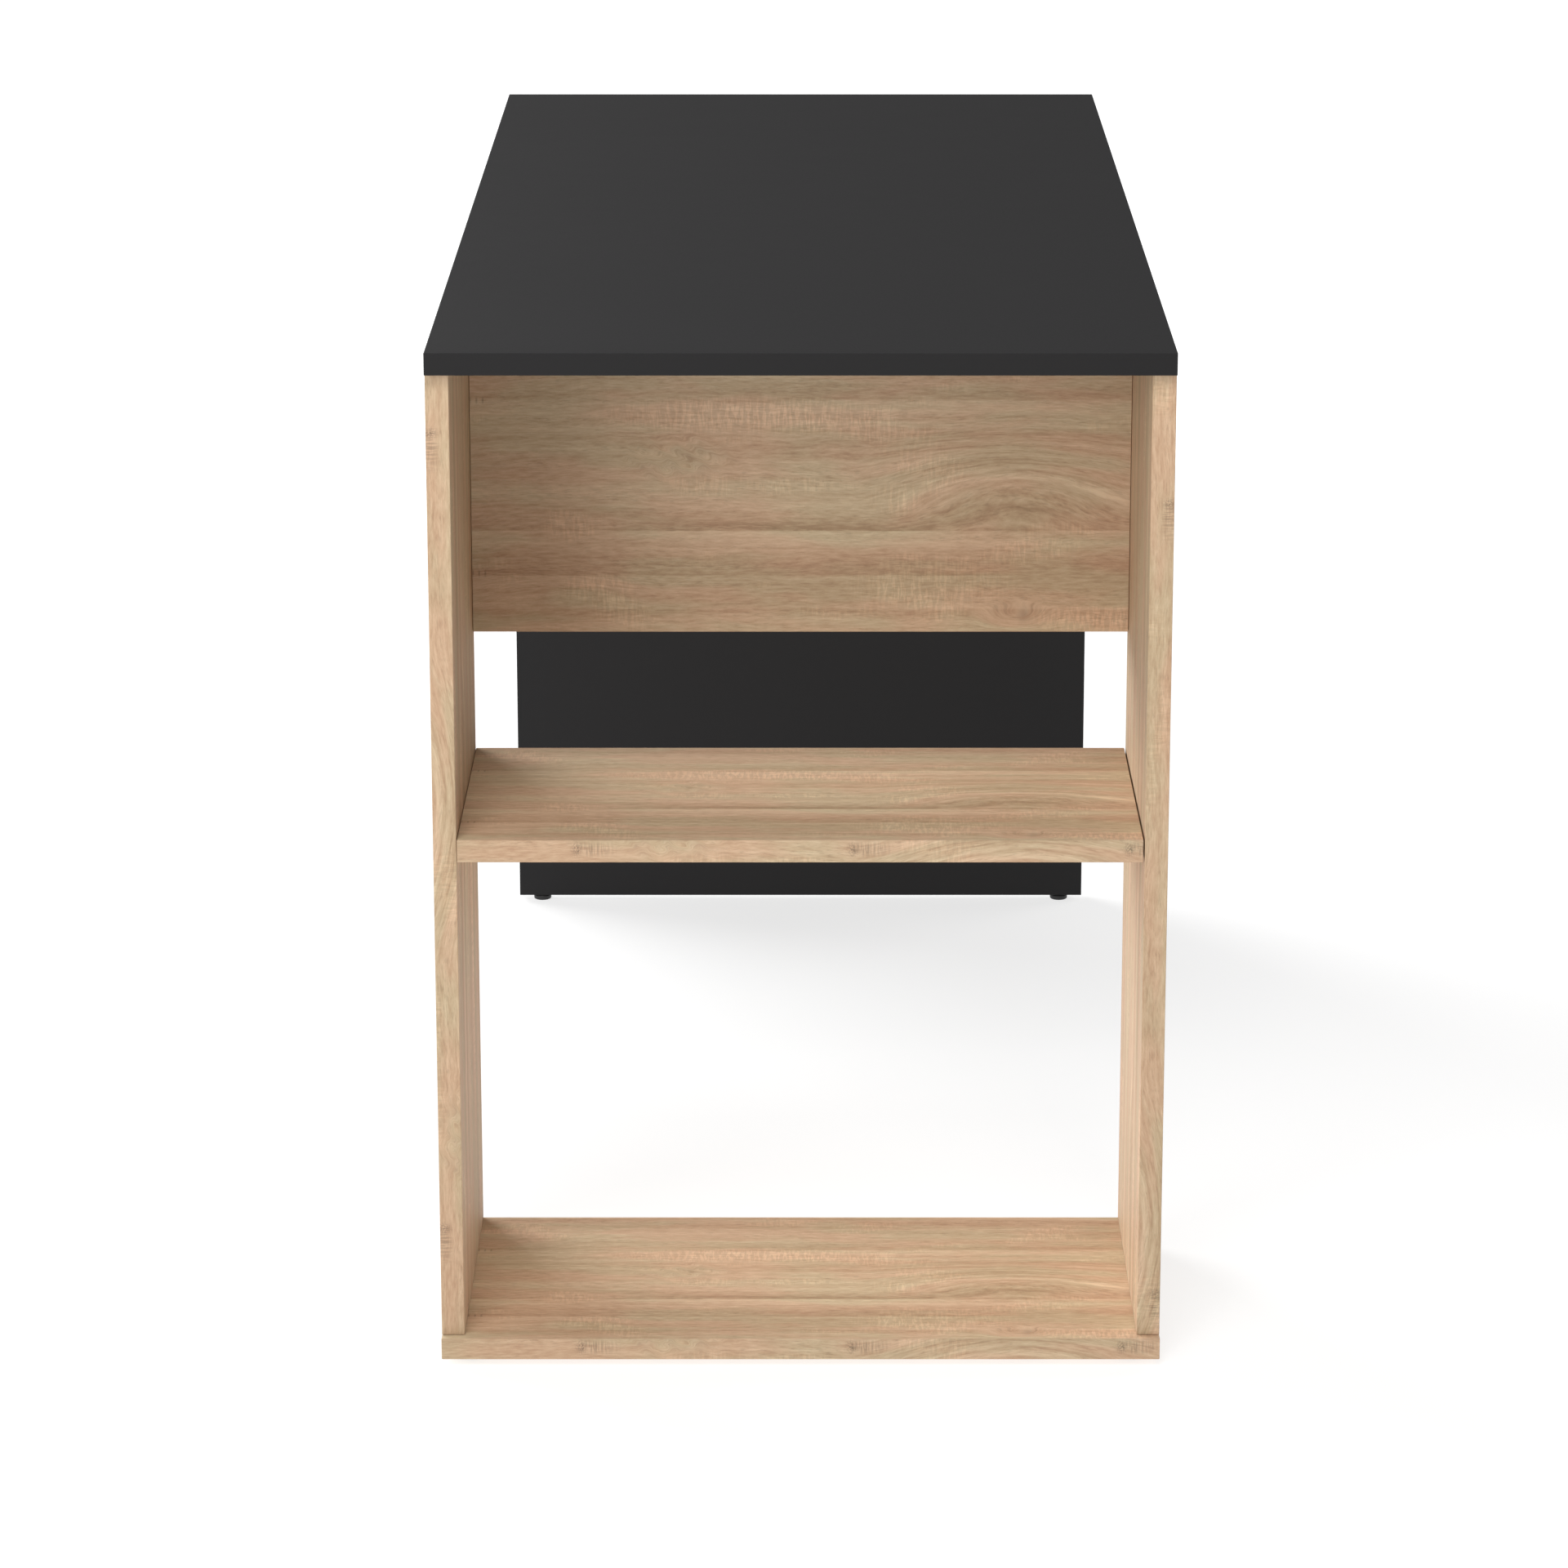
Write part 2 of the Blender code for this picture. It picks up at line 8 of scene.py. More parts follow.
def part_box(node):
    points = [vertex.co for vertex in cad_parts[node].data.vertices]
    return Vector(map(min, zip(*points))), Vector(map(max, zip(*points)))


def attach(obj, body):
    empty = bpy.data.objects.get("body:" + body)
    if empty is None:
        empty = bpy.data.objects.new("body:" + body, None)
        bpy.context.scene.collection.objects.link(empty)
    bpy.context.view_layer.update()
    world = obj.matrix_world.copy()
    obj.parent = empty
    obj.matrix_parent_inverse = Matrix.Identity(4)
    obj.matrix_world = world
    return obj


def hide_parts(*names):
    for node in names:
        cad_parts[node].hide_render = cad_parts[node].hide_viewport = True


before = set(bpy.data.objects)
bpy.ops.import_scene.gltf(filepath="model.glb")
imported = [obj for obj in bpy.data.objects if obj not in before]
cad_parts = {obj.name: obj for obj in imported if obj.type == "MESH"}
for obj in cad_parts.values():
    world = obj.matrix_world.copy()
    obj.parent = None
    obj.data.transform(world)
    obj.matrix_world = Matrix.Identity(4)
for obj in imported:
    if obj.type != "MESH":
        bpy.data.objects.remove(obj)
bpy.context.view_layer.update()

scene = bpy.context.scene
scene.view_settings.view_transform = "Standard"  # colours stay as the materials give them


def fromScreen(red, green, blue):  # 8-bit screen colour to the renderer's linear colour
    def linear(value):
        value = value / 255
        return value / 12.92 if value <= 0.04045 else ((value + 0.055) / 1.055) ** 2.4

    return (linear(red), linear(green), linear(blue), 1.0)


cameraSettings = {
    "ahead": 3.525,  # in front of the table top's near edge
    "height": 1.460,
    "pitch": 15.0,
    "lens": 123.4,
    "shiftX": -0.0106,
    "shiftY": -0.08,
}


def makeCamera(settings):
    data = bpy.data.cameras.new("viewCamera")
    data.lens = settings["lens"]
    data.sensor_width = 36
    data.shift_x = settings["shiftX"]
    data.shift_y = settings["shiftY"]
    data.clip_end = 200
    camera = bpy.data.objects.new("viewCamera", data)
    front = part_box("table_top")[0].y
    camera.location = (0, front - settings["ahead"], settings["height"])
    camera.rotation_euler = (math.radians(90 - settings["pitch"]), 0, 0)
    scene.collection.objects.link(camera)
    scene.camera = camera
    print("camera ready")


class Strand:  # one number on its way through a material
    def __init__(self, paint, socket):
        self.paint = paint
        self.socket = socket

    def maths(self, operation, first, second=0.0):
        return self.paint.add("ShaderNodeMath", {"operation": operation}, {0: first, 1: second})

    def __add__(self, other):
        return self.maths("ADD", self, other)

    def __sub__(self, other):
        return self.maths("SUBTRACT", self, other)

    def __mul__(self, other):
        return self.maths("MULTIPLY", self, other)

    def __truediv__(self, other):
        return self.maths("DIVIDE", self, other)

    def __rsub__(self, other):
        return self.maths("SUBTRACT", other, self)

    def __gt__(self, other):
        return self.maths("GREATER_THAN", self, other)

    def __lt__(self, other):
        return self.maths("LESS_THAN", self, other)

    def __neg__(self):
        return self.maths("MULTIPLY", self, -1.0)

    def __abs__(self):
        return self.maths("ABSOLUTE", self)

    __radd__ = __add__
    __rmul__ = __mul__

    def rest(self):  # what is left after the whole steps
        return self.maths("FRACT", self)

    def exp(self):
        return self.maths("EXPONENT", self)

    def root(self):
        return self.maths("SQRT", self)

    def clear(self):  # held between 0 and 1
        return self.maths("MINIMUM", self.maths("MAXIMUM", self, 0.0), 1.0)

    def over(self, low, high):  # smooth step from 0 at low to 1 at high
        settings = {"interpolation_type": "SMOOTHSTEP", "clamp": True}
        sockets = {"Value": self, "From Min": low, "From Max": high}
        return self.paint.add("ShaderNodeMapRange", settings, sockets)


class Paint:  # builds one material
    def __init__(self, name):
        self.material = bpy.data.materials.new(name)
        self.material.use_nodes = True
        self.tree = self.material.node_tree
        self.shader = self.tree.nodes["Principled BSDF"]

    def add(self, kind, settings, sockets, output=0):
        node = self.tree.nodes.new(kind)
        for name, value in settings.items():
            if name == "stops":
                ramp = node.color_ramp
                while len(ramp.elements) < len(value):
                    ramp.elements.new(0.5)
                for element, (position, colour) in zip(ramp.elements, value):
                    element.position = position
                    element.color = colour
            else:
                setattr(node, name, value)
        for name, value in sockets.items():
            self.put(node.inputs[name], value)
        return Strand(self, node.outputs[output])

    def put(self, socket, value):
        if isinstance(value, Strand):
            self.tree.links.new(value.socket, socket)
        else:
            socket.default_value = value

    def mix(self, factor, low, high, how="MIX"):
        settings = {"data_type": "RGBA", "blend_type": how, "clamp_factor": True}
        return self.add("ShaderNodeMix", settings, {0: factor, 6: low, 7: high}, 2)

    def place(self, kind="Object"):  # object coordinates or normals, one strand for each axis
        source = self.add("ShaderNodeTexCoord", {}, {}, kind)
        parts = "ShaderNodeSeparateXYZ"
        return {axis: self.add(parts, {}, {0: source}, axis.upper()) for axis in "xyz"}

    def noise(self, across, along, detail=2.0, rough=0.5, depth=None):
        flat = depth is None
        point = self.add("ShaderNodeCombineXYZ", {}, {0: across, 1: along, 2: 0.0 if flat else depth})
        settings = {"noise_dimensions": "2D" if flat else "3D"}
        sockets = {"Vector": point, "Scale": 1.0, "Detail": detail, "Roughness": rough}
        return self.add("ShaderNodeTexNoise", settings, sockets)

    def speckle(self, point, scale, detail=2.0, rough=0.6):  # noise of one size in all directions
        return self.noise(point["x"] * scale, point["y"] * scale, detail, rough, point["z"] * scale)

    def grey(self, shade):
        return self.add("ShaderNodeCombineXYZ", {}, {0: shade, 1: shade, 2: shade})

    def times(self, colour, other):
        return self.mix(1.0, colour, other, "MULTIPLY")

    def bump(self, strength, distance, height):
        return self.add("ShaderNodeBump", {}, {"Strength": strength, "Distance": distance, "Height": height})

    def finish(self, **sockets):
        for name, value in sockets.items():
            self.put(self.shader.inputs[name.replace("_", " ")], value)
        return self.material


# The oak decor is a printed pattern, the same on every oak board.
oakDecor = {
    "height": 0.235,  # the printed picture starts again after this much board
    "bandStart": 0.110,  # where in the picture an edge band lies, across it
    "endStart": 0.31,  # and where the band on a board's end begins, along it
    "strips": [  # place across the board, tone at its lower edge and at its upper edge
        (0.000, 0.68, 0.38), (0.017, 0.60, 0.50), (0.042, 0.24, 0.72), (0.075, 0.26, 0.62),
        (0.106, 0.50, 0.40), (0.150, 0.56, 0.60), (0.171, 0.34, 0.56), (0.205, 0.54, 0.32),
    ],
    "stripJoint": 0.0006,  # how wide the step in tone between two strips is
    "tones": [
        (0.05, (169, 137, 109)), (0.36, (191, 162, 133)),
        (0.60, (204, 178, 149)), (0.95, (222, 199, 169)),
    ],
    "green": (0.955, 1.012, 0.975, 1),
    "pink": (1.025, 0.974, 0.958, 1),
    "humps": [  # centre along and across the board, half length, half width, lift of the grain
        (0.390, 0.112, 0.120, 0.048, 0.023),
        (0.060, 0.030, 0.080, 0.020, 0.007),
        (0.392, 0.010, 0.036, 0.014, -0.010),
    ],
    "fanDepth": 1.3,  # how much stronger the grain is on the first hump
    "swirl": (0.152, 0.127, 0.052, 0.020),  # where the grain curls: centre, half length, half width
    "curlSlant": 60.0,
    "saws": [  # patches of cross-cut marks: centre, half length, half width, strength
        (0.200, 0.160, 0.120, 0.016, 1.0), (0.090, 0.032, 0.032, 0.013, 0.9),
        (0.330, 0.036, 0.070, 0.024, 0.7), (0.305, 0.098, 0.022, 0.014, 0.8),
        (0.448, 0.009, 0.052, 0.012, 1.0), (0.170, 0.108, 0.040, 0.010, 0.6),
    ],
    "scatterStart": 4.0,  # picks which of the scattered cross-cut marks show
    "knot": (0.397, 0.012, 0.0045, 0.0060),  # centre, half length, half width
    "endTicks": {  # two short rows of ticks at the start of the picture
        "rows": (0.0435, 0.1705), "height": 0.0035, "length": 0.0135, "step": 0.0045, "share": 0.28,
    },
    "bandTint": (0.94, 0.915, 0.895, 1),
    "specular": 0.30,
    "bump": {"strength": 0.30, "distance": 0.0001},
}

# Layers of noise in the decor: scale along the grain and across it, detail, roughness, and for some of
# them the two limits of a soft step.
oakNoise = {
    "drift": (2.4, 9.0, 2.0, 0.5),
    "ripple": (17.0, 34.0, 2.0, 0.5),
    "curl": (75.0, 110.0, 1.0, 0.5),
    "broad": (1.5, 62.0, 2.0, 0.5),
    "middle": (7.0, 190.0, 2.0, 0.6),
    "fine": (72.0, 560.0, 3.0, 0.72),
    "fading": (4.0, 12.0, 1.0, 0.5, 0.30, 0.60),
    "pores": (150.0, 1150.0, 1.0, 0.5, 0.55, 0.70),
    "poreRows": (6.0, 150.0, 2.0, 0.5, 0.40, 0.62),
    "hue": (9.0, 42.0, 2.0, 0.5, 0.36, 0.64),
    "scatter": (11.0, 30.0, 2.0, 0.5, 0.58, 0.72),
    "ticks": (430.0, 78.0, 2.0, 0.6, 0.44, 0.60),
    "dash": (900.0, 700.0, 1.0, 0.5, 0.35, 0.6),
    "tail": (700.0, 90.0, 1.0, 0.5, 0.42, 0.60),
}

oakAmounts = {
    "bend": {"drift": 0.012, "ripple": 0.0035, "curl": 0.017},  # how far the grain moves, in metres
    "tone": {"fading": 0.65, "broad": 0.50, "middle": 0.42, "fine": 0.92, "fan": 0.05},
    "scatter": 0.6,
    "knot": {"whole": 0.55, "fine": 1.6},
    # shade: the bevels' amount is a painted highlight
    "shade": {"pores": 0.13, "saw": 0.21, "knot": 0.34, "mark": 0.34, "curl": 0.42, "paintedBevelHighlight": 0.05},
    "rough": {"whole": 0.58, "fine": 0.25, "pores": 0.12, "saw": 0.05},
    "height": {"saw": 0.5, "pores": 0.8, "fine": 0.9},
}


def oakLayer(paint, name, along, across, shift=None):  # a soft step, or without limits a swing about 0
    alongScale, acrossScale, detail, rough, *limits = oakNoise[name]
    place = along * alongScale
    if shift is not None:
        place = place + shift
    noise = paint.noise(place, across * acrossScale, detail, rough)
    return noise.over(*limits) if limits else noise - 0.5


def oakPattern(paint, u, v):  # u along the grain, v across it, in metres
    decor = oakDecor
    bend = oakAmounts["bend"]

    def window(spot):  # soft patch, 1 in its middle
        along = (u - spot[0]) / spot[2]
        across = (v - spot[1]) / spot[3]
        return (1 - along * along - across * across).clear()

    drift = oakLayer(paint, "drift", u, v) * bend["drift"]
    ripple = oakLayer(paint, "ripple", u, v) * bend["ripple"]
    grain = v + drift + ripple
    for hump in decor["humps"]:
        rise = window(hump)
        grain = grain - rise * rise * hump[4]
    curl = window(decor["swirl"]) * oakLayer(paint, "curl", u, v, v * decor["curlSlant"])
    grain = grain + curl * bend["curl"]

    place = (v / decor["height"]).rest()
    ends = [strip[0] for strip in decor["strips"][1:]] + [decor["height"]]
    stops = []
    for (start, low, high), end in zip(decor["strips"], ends):
        stops.append((start / decor["height"], (low, low, low, 1)))
        stops.append(((end - decor["stripJoint"]) / decor["height"], (high, high, high, 1)))
    strips = paint.add("ShaderNodeValToRGB", {"stops": stops}, {0: place})

    amount = oakAmounts["tone"]
    fading = oakLayer(paint, "fading", u, v)
    fine = oakLayer(paint, "fine", u, grain)
    fan = window(decor["humps"][0])
    tone = 0.5 + (strips - 0.5) * (1 - amount["fading"] + fading * amount["fading"])
    tone = tone + oakLayer(paint, "broad", u, grain) * amount["broad"] + fine * amount["fine"]
    deeper = fan * (amount["middle"] * decor["fanDepth"])
    tone = tone + oakLayer(paint, "middle", u, grain) * (amount["middle"] + deeper) - fan * amount["fan"]
    tones = [(at, fromScreen(*shade)) for at, shade in decor["tones"]]
    colour = paint.add("ShaderNodeValToRGB", {"stops": tones}, {0: tone})
    tint = paint.mix(oakLayer(paint, "hue", u, grain), decor["pink"], decor["green"])
    colour = paint.times(colour, tint)

    pores = oakLayer(paint, "pores", u, grain) * oakLayer(paint, "poreRows", u, grain)
    scatter = oakLayer(paint, "scatter", u, v, decor["scatterStart"]) * oakAmounts["scatter"]
    for spot in decor["saws"]:
        scatter = scatter + window(spot) * spot[4]
    saw = scatter.clear() * oakLayer(paint, "ticks", u, grain)

    amount = oakAmounts["knot"]
    knotU = (u - decor["knot"][0]) / decor["knot"][2]
    knotV = (v - decor["knot"][1]) / decor["knot"][3]
    knot = (-(knotU * knotU) - knotV * knotV).exp() * (amount["whole"] + fine * amount["fine"])
    ticks = decor["endTicks"]
    for across in ticks["rows"]:
        tickRow = (1 - abs(v - across) / ticks["height"]).clear() * (u < ticks["length"])
        knot = knot + tickRow * ((u / ticks["step"]).rest() < ticks["share"])
    return {"colour": colour, "pores": pores, "saw": saw, "knot": knot, "fine": fine, "curl": curl}


oakBoards = {
    # axes: through the board, along its grain and across it. Its faces are drawn lighter by the given
    # factor: painted light, standing in for light from above that the lamps don't give the shelf and the
    # base.
    # The dark marks on its edge bands: first one, step, height in the band, and the way their ticks run.
    "tower_back_panel": {
        "name": "oakBackPanel", "axes": "yxz", "start": 0, "paintedLight": 1.0,
        "marks": {"first": 0.082, "step": 0.190, "height": 0.0095, "way": 1},
    },
    "loose_shelf": {
        "name": "oakShelf", "axes": "zxy", "start": 0, "paintedLight": 1.13,
        "marks": {"first": 0.082, "step": 0.190, "height": 0.0095, "way": 1},
    },
    "base_board": {
        "name": "oakBase", "axes": "zxy", "start": 0.016, "paintedLight": 1.06,
        "marks": {"first": 0.082, "step": 0.190, "height": 0.0095, "way": 1},
    },
    "upright_left": {
        "name": "oakUprightLeft", "axes": "xzy", "start": 0, "paintedLight": 1.0,
        "marks": {"first": 0.650, "step": 0.570, "height": 0.0030, "way": -1},
    },
    "upright_right": {
        "name": "oakUprightRight", "axes": "xzy", "start": -0.31, "paintedLight": 1.0,
        "marks": {"first": 0.911, "step": 0.570, "height": 0.0130, "way": -1},
    },
}


# A dark mark on an edge band is a short dash, and behind it a tail of ticks.
oakMark = {
    "dashLength": 0.0032,  # half lengths
    "dashHeight": 0.0042,
    "dash": 1.3,  # strength
    "tailMiddle": 0.010,  # behind the dash
    "tailLength": 0.020,
    "tailTop": 1.4,  # the tail is whole near the dash's height and fades above and below it
    "tailFade": 0.9,
    "tail": 0.9,
}
facesAxis = 0.8  # a normal's share along an axis, from which a face counts as facing it


def oakBandMark(paint, u, depth, marks):
    look = oakMark
    beside = (((u - marks["first"]) / marks["step"] + 0.5).rest() - 0.5) * (marks["step"] * marks["way"])
    dashU = beside / look["dashLength"]
    dashV = (depth - marks["height"]) / look["dashHeight"]
    dash = (-(dashU * dashU) - dashV * dashV).exp() * oakLayer(paint, "dash", u, depth)
    tail = (beside > 0.0) * (1 - abs(beside - look["tailMiddle"]) / look["tailLength"]).clear()
    tail = tail * (look["tailTop"] - abs(dashV) * look["tailFade"]).clear()
    return dash * look["dash"] + tail * oakLayer(paint, "tail", beside, depth) * look["tail"]


def oakMaterial(board, low):  # low is the board's lowest corner, where its decor starts
    paint = Paint(board["name"])
    thick, grain, across = board["axes"]
    corner = dict(zip("xyz", low))
    corner[grain] += board["start"]
    point = paint.place("Object")
    facing = paint.place("Normal")
    onFace = abs(facing[thick]) > facesAxis
    onEnd = abs(facing[grain]) > facesAxis
    alongGrain = point[grain] - corner[grain]
    acrossGrain = point[across] - corner[across]
    depth = point[thick] - corner[thick]
    u = alongGrain + onEnd * (acrossGrain - alongGrain + oakDecor["endStart"])
    v = depth + oakDecor["bandStart"] + onFace * (acrossGrain - depth - oakDecor["bandStart"])
    decor = oakPattern(paint, u, v)
    mark = oakBandMark(paint, u, depth, board["marks"]) * (1 - onFace)

    # the narrow bevels face none of the three axes; they are painted a little paler, a painted highlight
    # along the edges
    square = (abs(facing["x"]) > facesAxis) + (abs(facing["y"]) > facesAxis) + (abs(facing["z"]) > facesAxis)
    paintedBevelHighlight = 1 - square
    amount = oakAmounts["shade"]
    shade = 1 - decor["pores"] * amount["pores"] + decor["saw"] * amount["saw"]
    shade = shade - decor["knot"] * amount["knot"] - mark * amount["mark"]
    # the broad faces lighter by the board's factor: painted light on the shelf and base
    shade = shade + decor["curl"] * amount["curl"] + paintedBevelHighlight * amount["paintedBevelHighlight"] + onFace * (board["paintedLight"] - 1)
    colour = paint.times(decor["colour"], paint.grey(shade))
    colour = paint.times(colour, paint.mix(onFace, oakDecor["bandTint"], (1, 1, 1, 1)))

    amount = oakAmounts["rough"]
    rough = amount["whole"] + decor["fine"] * amount["fine"]
    rough = rough + decor["pores"] * amount["pores"] - decor["saw"] * amount["saw"]
    amount = oakAmounts["height"]
    height = decor["saw"] * amount["saw"] - decor["pores"] * amount["pores"] + decor["fine"] * amount["fine"]
    bump = paint.bump(oakDecor["bump"]["strength"], oakDecor["bump"]["distance"], height)
    paint.shader.inputs["Specular IOR Level"].default_value = oakDecor["specular"]
    return paint.finish(Base_Color=colour, Roughness=rough, Normal=bump)


blackFinish = {
    # The top and the panels are one black melamine: the panels get a darker colour and less gloss, painted
    # shade for lying under the top.
    "top": {"colour": fromScreen(32, 31, 32), "gloss": 0.32},
    "panel": {"colour": fromScreen(26, 25, 26), "gloss": 0.27},
    "band": fromScreen(16, 14, 15),
    "rough": 0.50,
    "facing": 0.6,  # a normal's share from which a face shows the face colour and not the band's
    "pearl": {"scale": 900.0, "shade": 0.08, "rough": 0.08},
    "cloud": {"scale": 5.0, "shade": 0.04, "rough": 0.10},
    "darkest": 0.94,
    "bump": {"strength": 0.25, "distance": 0.00008},
}


# face picks the top's colour or the panels' darker copy, which is painted shade
def blackMaterial(name, thick, face):
    paint = Paint(name)
    point = paint.place("Object")
    facing = paint.place("Normal")
    onFace = abs(facing[thick]) > blackFinish["facing"]
    pearls, clouds = blackFinish["pearl"], blackFinish["cloud"]
    pearl = paint.speckle(point, pearls["scale"])
    cloud = paint.speckle(point, clouds["scale"], 3.0, 0.55)
    colour = paint.mix(onFace, blackFinish["band"], blackFinish[face]["colour"])
    shade = blackFinish["darkest"] + pearl * pearls["shade"] + cloud * clouds["shade"]
    colour = paint.times(colour, paint.grey(shade))
    rough = blackFinish["rough"] + (cloud - 0.5) * clouds["rough"] + (pearl - 0.5) * pearls["rough"]
    bump = paint.bump(blackFinish["bump"]["strength"], blackFinish["bump"]["distance"], pearl)
    paint.shader.inputs["Specular IOR Level"].default_value = blackFinish[face]["gloss"]
    return paint.finish(Base_Color=colour, Roughness=rough, Normal=bump)


fittingFinish = {  # shade and rough: how much the speckle changes the colour and the roughness
    "metal": {"darkest": 0.82, "shade": 0.36, "rough": 0.2, "bump": (0.2, 0.00005)},
    "plastic": {
        "scale": 1400.0, "darkest": 0.9, "shade": 0.2, "whole": 0.48, "rough": 0.1, "bump": (0.3, 0.00006),
    },
    "beech": {
        "dark": fromScreen(196, 158, 114), "light": fromScreen(224, 192, 148), "whole": 0.68, "rough": 0.1,
        "across": 700.0, "along": 120.0,  # scale of the flecks
    },
}


def metalMaterial(name, colour, rough, grainSize):
    look = fittingFinish["metal"]
    paint = Paint(name)
    point = paint.place("Object")
    speckle = paint.speckle(point, 1 / grainSize, 3.0)
    tinted = paint.times(colour, paint.grey(look["darkest"] + speckle * look["shade"]))
    bump = paint.bump(*look["bump"], speckle)
    paint.shader.inputs["Metallic"].default_value = 1.0
    return paint.finish(Base_Color=tinted, Roughness=rough + (speckle - 0.5) * look["rough"], Normal=bump)


def plasticMaterial(name, colour):
    look = fittingFinish["plastic"]
    paint = Paint(name)
    point = paint.place("Object")
    spark = paint.speckle(point, look["scale"])
    bump = paint.bump(*look["bump"], spark)
    tinted = paint.times(colour, paint.grey(look["darkest"] + spark * look["shade"]))
    rough = look["whole"] + (spark - 0.5) * look["rough"]
    return paint.finish(Base_Color=tinted, Roughness=rough, Normal=bump)


def beechMaterial(name):  # its flecks are long in Z
    look = fittingFinish["beech"]
    paint = Paint(name)
    point = paint.place("Object")
    across, along = look["across"], look["along"]
    fleck = paint.noise(point["x"] * across, point["y"] * across, 2.0, 0.6, point["z"] * along)
    colour = paint.mix(fleck, look["dark"], look["light"])
    return paint.finish(Base_Color=colour, Roughness=look["whole"] + (fleck - 0.5) * look["rough"])


def dress(node, material):  # a CAD node keeps its shape and gets a finish
    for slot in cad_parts[node].material_slots:
        slot.material = material


studioSettings = {
    "sky": 0.17,
    "floorSize": 80,
    "floorColour": (0.42, 0.42, 0.42, 1),
    "glowNear": 0.72,  # the floor's own light under the desk, and far away where the backdrop is white
    "glowFar": 1.05,
    "glowFrom": 1.3,
    "glowTo": 4.0,
    "aim": (0, -0.2, 0.35),
    "away": 4.6,  # every lamp from the point it aims at
    "lamps": {  # turn from the front, positive to the right, then tilt upwards, size and power
        "keyLamp": {"turn": -31, "tilt": 17, "size": 2.4, "power": 66},
        "topLamp": {"turn": -6, "tilt": 53, "size": 2.0, "power": 84},
        "backLeftLamp": {"turn": -135, "tilt": 18, "size": 3.2, "power": 222},
        "backRightLamp": {"turn": 125, "tilt": 18, "size": 2.6, "power": 46},
    },
}


def makeStudio(settings):
    world = bpy.data.worlds.new("studioSky")
    world.use_nodes = True
    scene.world = world
    background = world.node_tree.nodes["Background"]
    background.inputs["Color"].default_value = (1, 1, 1, 1)
    background.inputs["Strength"].default_value = settings["sky"]

    shape = bmesh.new()
    bmesh.ops.create_grid(shape, x_segments=1, y_segments=1, size=settings["floorSize"] / 2)
    mesh = bpy.data.meshes.new("studioFloor")
    shape.to_mesh(mesh)
    shape.free()
    floor = bpy.data.objects.new("studioFloor", mesh)
    scene.collection.objects.link(floor)
    paint = Paint("floorPaint")
    paint.shader.inputs["Specular IOR Level"].default_value = 0.0
    paint.shader.inputs["Emission Strength"].default_value = 1.0
    point = paint.place("Object")
    distance = (point["x"] * point["x"] + point["y"] * point["y"]).root()
    far = distance.over(settings["glowFrom"], settings["glowTo"])
    glow = far * (settings["glowFar"] - settings["glowNear"]) + settings["glowNear"]
    paint.finish(Base_Color=settings["floorColour"], Roughness=0.9, Emission_Color=paint.grey(glow))
    mesh.materials.append(paint.material)

    aim = Vector(settings["aim"])
    for name, lamp in settings["lamps"].items():
        light = bpy.data.lights.new(name, "AREA")
        light.shape = "DISK"
        light.size = lamp["size"]
        light.energy = lamp["power"]
        item = bpy.data.objects.new(name, light)
        turn, tilt = math.radians(lamp["turn"]), math.radians(lamp["tilt"])
        away = Vector((math.cos(tilt) * math.sin(turn), -math.cos(tilt) * math.cos(turn), math.sin(tilt)))
        item.location = aim + away * settings["away"]
        item.rotation_euler = away.to_track_quat("Z", "Y").to_euler()
        scene.collection.objects.link(item)
    print("studio ready")


def dressBoards():
    for node, board in oakBoards.items():
        dress(node, oakMaterial(board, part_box(node)[0]))
    dress("table_top", blackMaterial("blackTop", "z", "top"))
    # the leg and modesty panels take the darker copy: painted shade
    dress("leg_panel", blackMaterial("blackLeg", "y", "panel"))
    dress("modesty_panel", blackMaterial("blackModesty", "x", "panel"))
    print("boards dressed")


# Each fitting is made at the origin and then set in the place of its plain stand-in.
weldGap = 0.000002  # corners nearer than this are one corner
sharpAngle = 32  # degrees, above it an edge stays sharp


def turnedShape(profile, sides):  # a profile of (radius, height) points spun about Z
    shape = bmesh.new()
    points = [shape.verts.new((radius, 0, height)) for radius, height in profile]
    edges = [shape.edges.new(pair) for pair in zip(points, points[1:])]
    bmesh.ops.spin(
        shape, geom=points + edges, cent=(0, 0, 0), axis=(0, 0, 1), dvec=(0, 0, 0),
        angle=math.tau, steps=sides, use_merge=True, use_duplicate=False,
    )
    bmesh.ops.remove_doubles(shape, verts=shape.verts, dist=weldGap)
    bmesh.ops.recalc_face_normals(shape, faces=shape.faces)
    return shape


def rounded(profile, corners, radius, steps=4):  # the profile with an arc in place of each named corner
    smooth = []
    for number, point in enumerate(profile):
        if number not in corners:
            smooth.append(point)
            continue
        here = Vector(point)
        before = (Vector(profile[number - 1]) - here).normalized()
        after = (Vector(profile[number + 1]) - here).normalized()
        reach = radius / math.tan(before.angle(after) / 2)
        start, end = here + before * reach, here + after * reach
        for step in range(steps + 1):
            part = step / steps
            smooth.append(tuple(start * (1 - part) ** 2 + here * 2 * part * (1 - part) + end * part ** 2))
    return smooth


def setPiece(name, shape, turn, centre, material, node, body="desk"):
    bmesh.ops.transform(shape, matrix=Matrix.Translation(centre) @ turn, verts=shape.verts)
    mesh = bpy.data.meshes.new(name)
    shape.to_mesh(mesh)
    shape.free()
    mesh.materials.append(material)
    mesh.shade_smooth()
    mesh.set_sharp_from_angle(angle=math.radians(sharpAngle))
    piece = bpy.data.objects.new(name, mesh)
    scene.collection.objects.link(piece)
    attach(piece, body)
    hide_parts(node)


